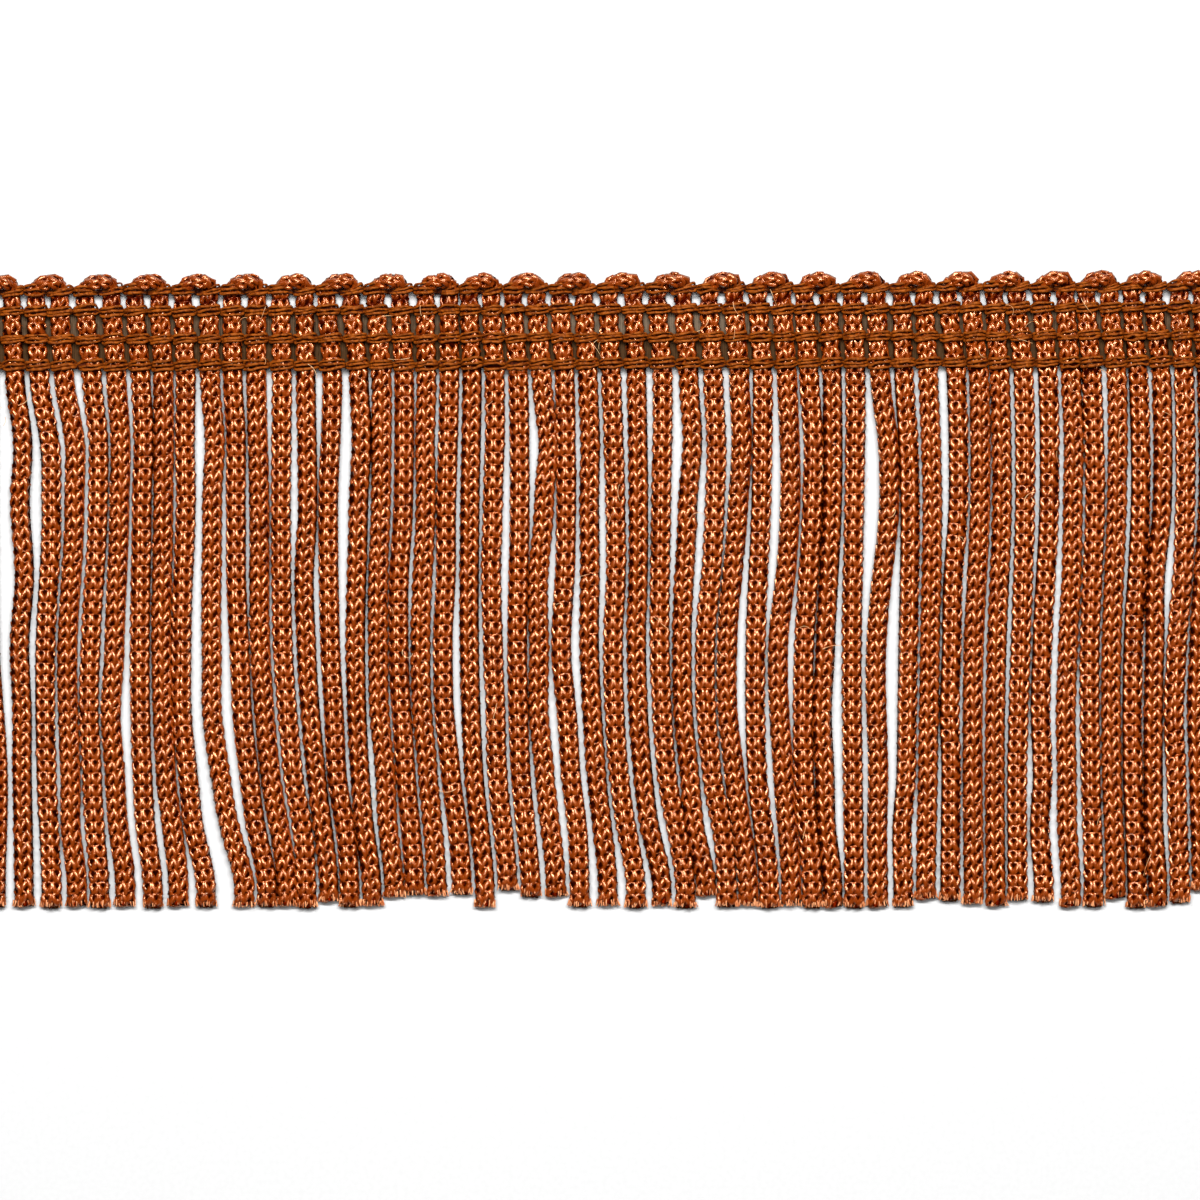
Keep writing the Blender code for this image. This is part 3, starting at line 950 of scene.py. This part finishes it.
class FRINGE_OT_hairpins(bpy.types.Operator):
    """Knit every hairpin of the fringe as one cord"""
    bl_idname = "fringe.hairpins"
    bl_label = "Knitted hairpins"

    def execute(self, context):
        look = context.scene.fringe_cord
        materials = (knitted_rayon(look), painted_shade_inside(look))
        for index in range(len(STRANDS) // 2):
            lays = LAYS.get(index, USUAL_LAY)
            turned = lays.right == LEVEL
            cord = hairpin_course(index, turned)
            rng = np.random.default_rng(HAIRPIN_SEED + index)
            order = (lays.right, lays.left) if turned else (lays.left, lays.right)
            line, outward, radius, raised = knit_line(cord, order, rng)
            rings, lay = yarn_rings(line, radius, look.sides, outward, look.flatness,
                                    YARN_APART * index)
            parts = ((*skin(rings), lay, 0), (*painted_shade_tube(cord), 1))
            piece = mesh_object("hairpin_%02d" % index, parts, materials)
            store_height(piece, np.repeat(raised, look.sides))
            dress(piece, "strand_cord", "fringe", "heading")
        return {"FINISHED"}


# ---- the crocheted chain rows ----
class FringeRowSettings(bpy.types.PropertyGroup):
    """Sizes and colours of the crocheted chain rows."""
    thread_radius: in_mm("Thread radius", "Radius of the plied cotton yarn", 0.125)
    over_cord: in_mm(
        "Height over a cord", "Middle of the thread where it crosses a cord", 1.17)
    between: in_mm(
        "Height between cords", "Middle of the thread between two cords", 0.52)
    pinch: as_share("Pinch", "Spread of the threads between two cords", 0.45)
    slope: as_share("Slope", "How steeply the threads climb over a cord", 0.1)
    slub: as_share("Slub", "How much the yarn swells and thins along its length", 0.2)
    # The core yarn is painted dark as the shade under the threads.
    core_radius: in_mm(
        "Core radius", "Radius of the yarn in the shade under the threads", 0.27)
    ply_pitch: in_mm("Ply pitch", "Length between two ply marks on the yarn", 0.72)
    ply_face: as_colour("Yarn colour", "Colour of the cotton yarn", "773807")
    # Painted shade: the colour and the tone of the marks between two plies.
    ply_shade: as_colour("Ply shade", "Colour between two plies", "441401")
    ply_mark_shade: as_share("Mark tone", "Tone of the mark between two plies", 0.2)
    cotton_gloss: as_share(
        "Cotton gloss", "Strength of the soft glint on the cotton", 0.3)
    unevenness: as_number(
        "Unevenness", "How far the threads stray, in layout units", 0.45)
    back_pitch: in_mm("Back pitch", "Distance between two threads on the back", 0.17)
    # The back colour, and the darker brown that the lower windows run to, are painted shade.
    back: as_colour("Back colour", "Colour of the threads on the back", "574A3C")


# Three threads run over every cord in a chain row: a low, a middle and a high one.  Between
# two cords each steps up by one place, and the high one dives under them to the low place.
PLACES = 3
# Places along the cord pitch (0 is the cord's middle, 1 the next one's) and how high the
# thread lies there: 1 over the cord, 0 between two cords.
OVER_CORD = ((-0.40, 0.66), (-0.15, 1.0), (0.15, 1.0), (0.40, 0.68))
# Where the high thread dives: layout units along the trim, place across the row and share of
# the height between two cords.
DIVE = ((-1.0, 1.5, 0.55), (1.2, 0.4, 0.60))
# The same for the yarn under the threads, painted dark as their shade: place from one cord
# to the next, and height.
CORE_COURSE = ((0.0, 0.6), (0.3, 0.45), (0.5, 0.0), (0.7, 0.45))
CORE_HEIGHT = 0.42            # mm between two cords
# Under a scallop the top row's three threads hang lower, in layout units, and deeper, in mm.
TOP_ROW_SAG = (0.3, 2.6, 5.2)
TOP_ROW_SINK = 0.25
ROW_SPREAD = 1.6              # layout units by which a row is wider at its widest
CLOSER = 0.92                 # share of that width that is left beside a cord
MIDDLE_HIGHER = 0.05          # mm that the middle thread lies over the other two
# How uneven the hand is, in layout units: lift of the row at a cord, bow of one thread,
# and places along the trim over and between two cords.  The width strays as a share.
LIFT_STRAY, BOW_STRAY = 0.35, 0.25
OVER_STRAY, BETWEEN_STRAY = 0.6, 0.4
WIDTH_STRAY = 0.08
THREAD_APART = 3000.0         # mm between two threads' lays, so that their marks differ
ROW_SEED = 40

# The threads on the back: how far they pass the rows in layout units, sway in the same
# units, and their radius and height in mm.
BACK_BEYOND = (2.0, 8.0)
BACK_SWAY = 0.25
BACK_RADIUS = 0.16
BACK_HEIGHT, BACK_UNEVEN = 0.20, 0.012
BACK_SEED = 7


def ease(value):
    """0 to 1, starting and stopping gently."""
    value = min(max(value, 0.0), 1.0)
    return value * value * (3 - 2 * value)


def climb(x, centres):
    """How far the top row has climbed at x: 0 under a scallop, 1 between two of them."""
    middles = [(a + b) / 2 for a, b in zip(centres[::2], centres[1::2])]
    gap = 2 * (centres[-1] - centres[0]) / (len(centres) - 1)
    before = [m for m in middles if m <= x]
    share = (x - before[-1]) / gap if before else 1 - (middles[0] - x) / gap
    # It rises over the first half of the way and drops just before the next scallop.
    return ease((share - 0.08) / 0.5) * (1 - ease((share - 0.85) / 0.15))


def chain_lines(number, rng):
    """Centre lines of the three threads of a chain row."""
    look = bpy.context.scene.fringe_row
    row = CHAIN_ROWS[number]
    centres = [lies_at(strand, row.y) for strand in STRANDS]
    pitches = [b - a for a, b in zip(centres, centres[1:])]
    pitches.append(pitches[-1])
    radius = look.thread_radius / MM / UNIT
    spread = (row.width + ROW_SPREAD) / 2 - radius
    over, low = look.over_cord / MM, look.between / MM
    lines = [[] for _ in range(PLACES)]

    def at(x, place, shift, z):
        """A point of a thread in mm; place is 0 at the row's foot and 2 at its top."""
        y = row.y - (place - 1) * spread + shift
        if number == 0:
            under = 1 - climb(x, centres)
            y += under * TOP_ROW_SAG[min(max(round(place), 0), PLACES - 1)]
            z -= TOP_ROW_SINK * under
        px, py = to_mm(x, y + drift(x))
        return (float(px), float(py), z)

    for i, (centre, pitch) in enumerate(zip(centres, pitches)):
        swell = 1 + rng.normal(0, WIDTH_STRAY)
        lift = rng.normal(0, LIFT_STRAY)
        for thread, line in enumerate(lines):
            place = (i + thread) % PLACES
            bow = rng.normal(0, BOW_STRAY)
            for along, high in OVER_CORD:
                x = centre + along * pitch + rng.normal(0, OVER_STRAY)
                shift = lift + bow - look.slope * along * pitch
                shift += rng.normal(0, look.unevenness)
                level = 1 + (place - 1) * swell * (1.0 if high == 1.0 else CLOSER)
                top = over + (MIDDLE_HIGHER if place == 1 else 0.0)
                line.append(at(x, level, shift, low + (top - low) * high))
            x = centre + pitch / 2 + rng.normal(0, BETWEEN_STRAY)
            if place == PLACES - 1:
                for along, level, deep in DIVE:
                    line.append(at(x + along, level, 0.0, low * deep))
            else:
                line.append(at(x, 1 + (place - 0.5) * look.pinch, 0.0,
                               low * (1.15 if place else 1.0)))
    return [through(line, 3) for line in lines]


def core_line(number):
    """Centre line of the yarn under the threads of a chain row, painted dark as their shade.
    """
    look = bpy.context.scene.fringe_row
    row = CHAIN_ROWS[number]
    over, low = look.over_cord / MM, look.between / MM
    centres = [lies_at(strand, row.y) for strand in STRANDS]
    line = []
    for a, b in zip(centres, centres[1:]):
        for share, high in CORE_COURSE:
            x = a + (b - a) * share
            y = row.y + (TOP_ROW_SAG[1] * (1 - climb(x, centres)) if number == 0 else 0.0)
            px, py = to_mm(x, y + drift(x))
            line.append((float(px), float(py), CORE_HEIGHT + (over - low) * high))
    return np.array(line)


def thread_part(line, radius, sides, start, slot=0):
    """A thread along a line, as a part of a mesh."""
    outward = np.zeros_like(line)
    outward[:, 2] = 1.0
    rings, lay = yarn_rings(line, radius, sides, outward, 1.0, start)
    return *skin(rings), lay, slot


def thread_across(x, y, z, radius, sides, start):
    """The same for a thread given by places in layout units and heights in mm."""
    return thread_part(np.stack([*to_mm(x, y), z], axis=1), radius, sides, start)


class FRINGE_OT_chain_rows(bpy.types.Operator):
    """Crochet the four chain rows over the cords"""
    bl_idname = "fringe.chain_rows"
    bl_label = "Crocheted chain rows"

    def execute(self, context):
        look = context.scene.fringe_row
        materials = (plied_cotton(look), painted_shade_cotton(look))
        for number, row in enumerate(CHAIN_ROWS):
            rng = np.random.default_rng(ROW_SEED + number)
            parts = []
            for thread, line in enumerate(chain_lines(number, rng)):
                full = 1 + wander(rng, len(line) // 2, look.slub, np.arange(len(line)) / 2)
                radius = look.thread_radius / MM * full
                parts.append(thread_part(line, radius, 5, THREAD_APART * thread))
            parts.append(thread_part(core_line(number), look.core_radius / MM, 5, 0.0, 1))
            piece = mesh_object("chain_stitches_%d" % (number + 1), parts, materials)
            dress(piece, "chain_yarn", row.node)
        return {"FINISHED"}


class FRINGE_OT_back_threads(bpy.types.Operator):
    """Lay the threads of the crochet that show behind the cords"""
    bl_idname = "fringe.back_threads"
    bl_label = "Back threads"

    def execute(self, context):
        look = context.scene.fringe_row
        rng = np.random.default_rng(BACK_SEED)
        parts = []
        below, beside = BACK_BEYOND
        top, foot = CHAIN_ROWS[1].y + below, CHAIN_ROWS[3].y + below
        first, last = STRANDS[0].heading - beside, STRANDS[-1].heading + beside
        for x in np.arange(first, last, look.back_pitch / MM / UNIT):
            y = np.linspace(top, foot, 5)
            sway = x + rng.normal(0, BACK_SWAY, 5)
            z = BACK_HEIGHT + rng.normal(0, BACK_UNEVEN) + 0 * y
            parts.append(thread_across(sway, y + drift(x), z, BACK_RADIUS, 4, 0.0))
        piece = mesh_object("heading_back_threads", parts, [back_threads(look)])
        dress(piece, "chain_yarn", "heading")
        return {"FINISHED"}


# ---- cut ends and stray fibres ----
# A strand's frayed end: its filaments, their length and how far they pass the cut in layout
# units, and their radius in mm at the root and at the tip.
END_FIBRES = 34
END_LENGTH = (3.0, 7.0)
END_BEYOND = (0.0, 1.8)
END_RADIUS = (0.075, 0.05)
END_SEED = 11

# Stray filaments: how many, their length in layout units, and in mm their radius and the
# height of the strands that they lie on, with what the heading is higher.
STRAY_FIBRES = 70
STRAY_LENGTH = (8, 26)
STRAY_RADIUS = (0.014, 0.024)
STRAY_HEIGHT = 1.17
HEADING_HIGHER = 0.15
STRAY_SEED = 5


class FRINGE_OT_cut_ends(bpy.types.Operator):
    """Fray the cut end of every strand"""
    bl_idname = "fringe.cut_ends"
    bl_label = "Frayed cut ends"

    def execute(self, context):
        rng = np.random.default_rng(END_SEED)
        parts = []
        start = 0.0
        for index, strand in enumerate(STRANDS):
            x0 = lies_at(strand, strand.end)
            half = half_width(index, strand.end) / UNIT
            lean = (x0 - lies_at(strand, strand.end - 20)) / 20
            # Each filament starts a little above the cut, fans out to its side and sinks.
            for _ in range(END_FIBRES):
                side = rng.uniform(-1.0, 1.0)
                length = rng.uniform(*END_LENGTH)
                lift = math.sqrt(1 - side * side) * rng.uniform(-0.5, 1.0)
                s = np.linspace(0, 1, 5)
                fan = side * rng.uniform(-0.3, 1.6) + rng.normal(0, 0.5) + lean * length
                curl = s ** 2 * rng.normal(0, 0.6)
                x = x0 + side * half * 0.82 + s * fan + curl
                y = strand.end - length + s * (length + rng.uniform(*END_BEYOND))
                z = 0.48 + 0.40 * lift - s ** 2 * rng.uniform(0.05, 0.25)
                thin = np.linspace(*END_RADIUS, 5)
                parts.append(thread_across(x, y, np.clip(z, 0.06, 1.1), thin, 3, start))
                start += 3.0
        material = loose_fibre("rayon_frayed_ends", "E4A272", "AC5626")
        piece = mesh_object("cut_end_fibres", parts, [material])
        dress(piece, "strand_cord", "fringe")
        return {"FINISHED"}


class FRINGE_OT_stray_fibres(bpy.types.Operator):
    """Lay a few stray filaments over the strands and the heading"""
    bl_idname = "fringe.stray_fibres"
    bl_label = "Stray fibres"

    def execute(self, context):
        rng = np.random.default_rng(STRAY_SEED)
        parts = []
        for number in range(STRAY_FIBRES):
            x = rng.uniform(-40, 1235)
            in_heading = number % 3 == 0
            y = rng.uniform(300, 372) if in_heading else rng.uniform(380, 890)
            heading = rng.uniform(0, 2 * np.pi)
            length = rng.uniform(*STRAY_LENGTH)
            s = np.linspace(0, 1, 9)
            way = heading + rng.normal(0, 1.3) * s
            x = x + np.cumsum(np.cos(way)) * length / 9
            y = y + np.cumsum(np.sin(way)) * length / 9
            z = STRAY_HEIGHT + 0.10 * np.sin(s * np.pi) + rng.uniform(0, 0.05)
            if in_heading:
                z = z + HEADING_HIGHER
            thin = rng.uniform(*STRAY_RADIUS)
            parts.append(thread_across(x, y, z, thin, 3, 10.0 * number))
        material = loose_fibre("rayon_stray_fibre", "F0C890", "B86A30")
        piece = mesh_object("stray_fibres", parts, [material])
        dress(piece, "strand_cord", "fringe")
        return {"FINISHED"}


# ---- stage ----
SENSOR_WIDTH = 36.0           # mm
FACE_HEIGHT = 0.8             # mm over the floor, where the picture is as wide as the layout
FLOOR_SIZE = 4.0              # metres
SOFT_PLACE = (0.0, 0.1, 0.60)
SOFT_SIZE = 0.35


class FringeStageSettings(bpy.types.PropertyGroup):
    """Floor, lights and camera."""
    floor_tone: as_colour("Floor", "Tone of the paper that the trim lies on", "AEAEAE")
    key_power: as_number("Key light", "Power of the key light", 8.0, unit="POWER")
    key_place: FloatVectorProperty(
        name="Key place", description="Where the key light hangs, beyond the scallops",
        size=3, default=(0.0, 0.26, 0.52), subtype="TRANSLATION", unit="LENGTH")
    key_width: in_mm("Key width", "Width of the key light, along the trim", 500.0)
    key_height: in_mm("Key height", "Height of the key light", 60.0)
    soft_power: as_number(
        "Soft light", "Power of the overhead light", 2.5, unit="POWER")
    sky: as_number("Room light", "Strength of the even light all round", 0.05)
    lens: as_number(
        "Lens", "Focal length in mm, long so that the view is nearly flat", 200.0)


def area_light(name, place, width, height, power):
    """A rectangular light that shines at the middle of the trim."""
    light = bpy.data.lights.new(name, "AREA")
    light.shape = "RECTANGLE"
    light.size = width
    light.size_y = height
    light.energy = power
    obj = bpy.data.objects.new(name, light)
    obj.location = place
    bpy.context.scene.collection.objects.link(obj)
    way = Vector((0.0, 0.0, 0.0)) - obj.location
    obj.rotation_euler = way.to_track_quat("-Z", "Y").to_euler()


class FRINGE_OT_stage(bpy.types.Operator):
    """Set the floor, the soft lights and the camera"""
    bl_idname = "fringe.stage"
    bl_label = "Floor, lights and camera"

    def execute(self, context):
        stage = context.scene.fringe_stage
        view_x, view_y = (float(v) * MM for v in to_mm(LAYOUT_UNITS / 2, LAYOUT_UNITS / 2))
        camera = bpy.data.cameras.new("camera")
        camera.lens = stage.lens
        camera.sensor_width = SENSOR_WIDTH
        away = TRIM_LENGTH_SHOWN * MM * camera.lens / camera.sensor_width
        camera.clip_start = 0.01
        camera.clip_end = 10.0
        eye = bpy.data.objects.new("camera", camera)
        eye.location = (view_x, view_y, away + FACE_HEIGHT * MM)
        context.scene.collection.objects.link(eye)
        context.scene.camera = eye

        bpy.ops.mesh.primitive_plane_add(size=FLOOR_SIZE, location=(0.0, 0.0, 0.0))
        floor = context.object
        floor.name = "floor"
        floor.data.materials.append(pale_paper(stage.floor_tone))

        area_light("key_light", stage.key_place, stage.key_width, stage.key_height,
                   stage.key_power)
        area_light("soft_light", SOFT_PLACE, SOFT_SIZE, SOFT_SIZE, stage.soft_power)
        world = bpy.data.worlds.new("room")
        context.scene.world = world
        world.use_nodes = True
        background = world.node_tree.nodes["Background"]
        background.inputs["Color"].default_value = (1.0, 1.0, 1.0, 1.0)
        background.inputs["Strength"].default_value = stage.sky
        context.scene.view_settings.view_transform = "Standard"
        return {"FINISHED"}


class FRINGE_PT_panel(bpy.types.Panel):
    """Lists the steps that build the trim"""
    bl_idname = "FRINGE_PT_panel"
    bl_label = "Chainette fringe"
    bl_space_type = "VIEW_3D"
    bl_region_type = "UI"
    bl_category = "Fringe"

    def draw(self, context):
        layout = self.layout
        for name in STEPS:
            layout.operator("fringe." + name)
        for name, group in SETTINGS.items():
            box = layout.box()
            for key in group.__annotations__:
                box.prop(getattr(context.scene, name), key)


STEPS = ("stage", "hairpins", "chain_rows", "back_threads", "cut_ends", "stray_fibres")
SETTINGS = {
    "fringe_cord": FringeCordSettings,
    "fringe_row": FringeRowSettings,
    "fringe_stage": FringeStageSettings,
}
OPERATORS = (FRINGE_OT_stage, FRINGE_OT_hairpins, FRINGE_OT_chain_rows,
             FRINGE_OT_back_threads, FRINGE_OT_cut_ends, FRINGE_OT_stray_fibres)


def register():
    for name, group in SETTINGS.items():
        bpy.utils.register_class(group)
        setattr(bpy.types.Scene, name, PointerProperty(type=group))
    for kind in OPERATORS + (FRINGE_PT_panel,):
        bpy.utils.register_class(kind)


def unregister():
    for kind in reversed(OPERATORS + (FRINGE_PT_panel,)):
        bpy.utils.unregister_class(kind)
    for name, group in SETTINGS.items():
        delattr(bpy.types.Scene, name)
        bpy.utils.unregister_class(group)


def main():
    register()
    for name in STEPS:
        getattr(bpy.ops.fringe, name)()


if __name__ == "__main__":
    main()
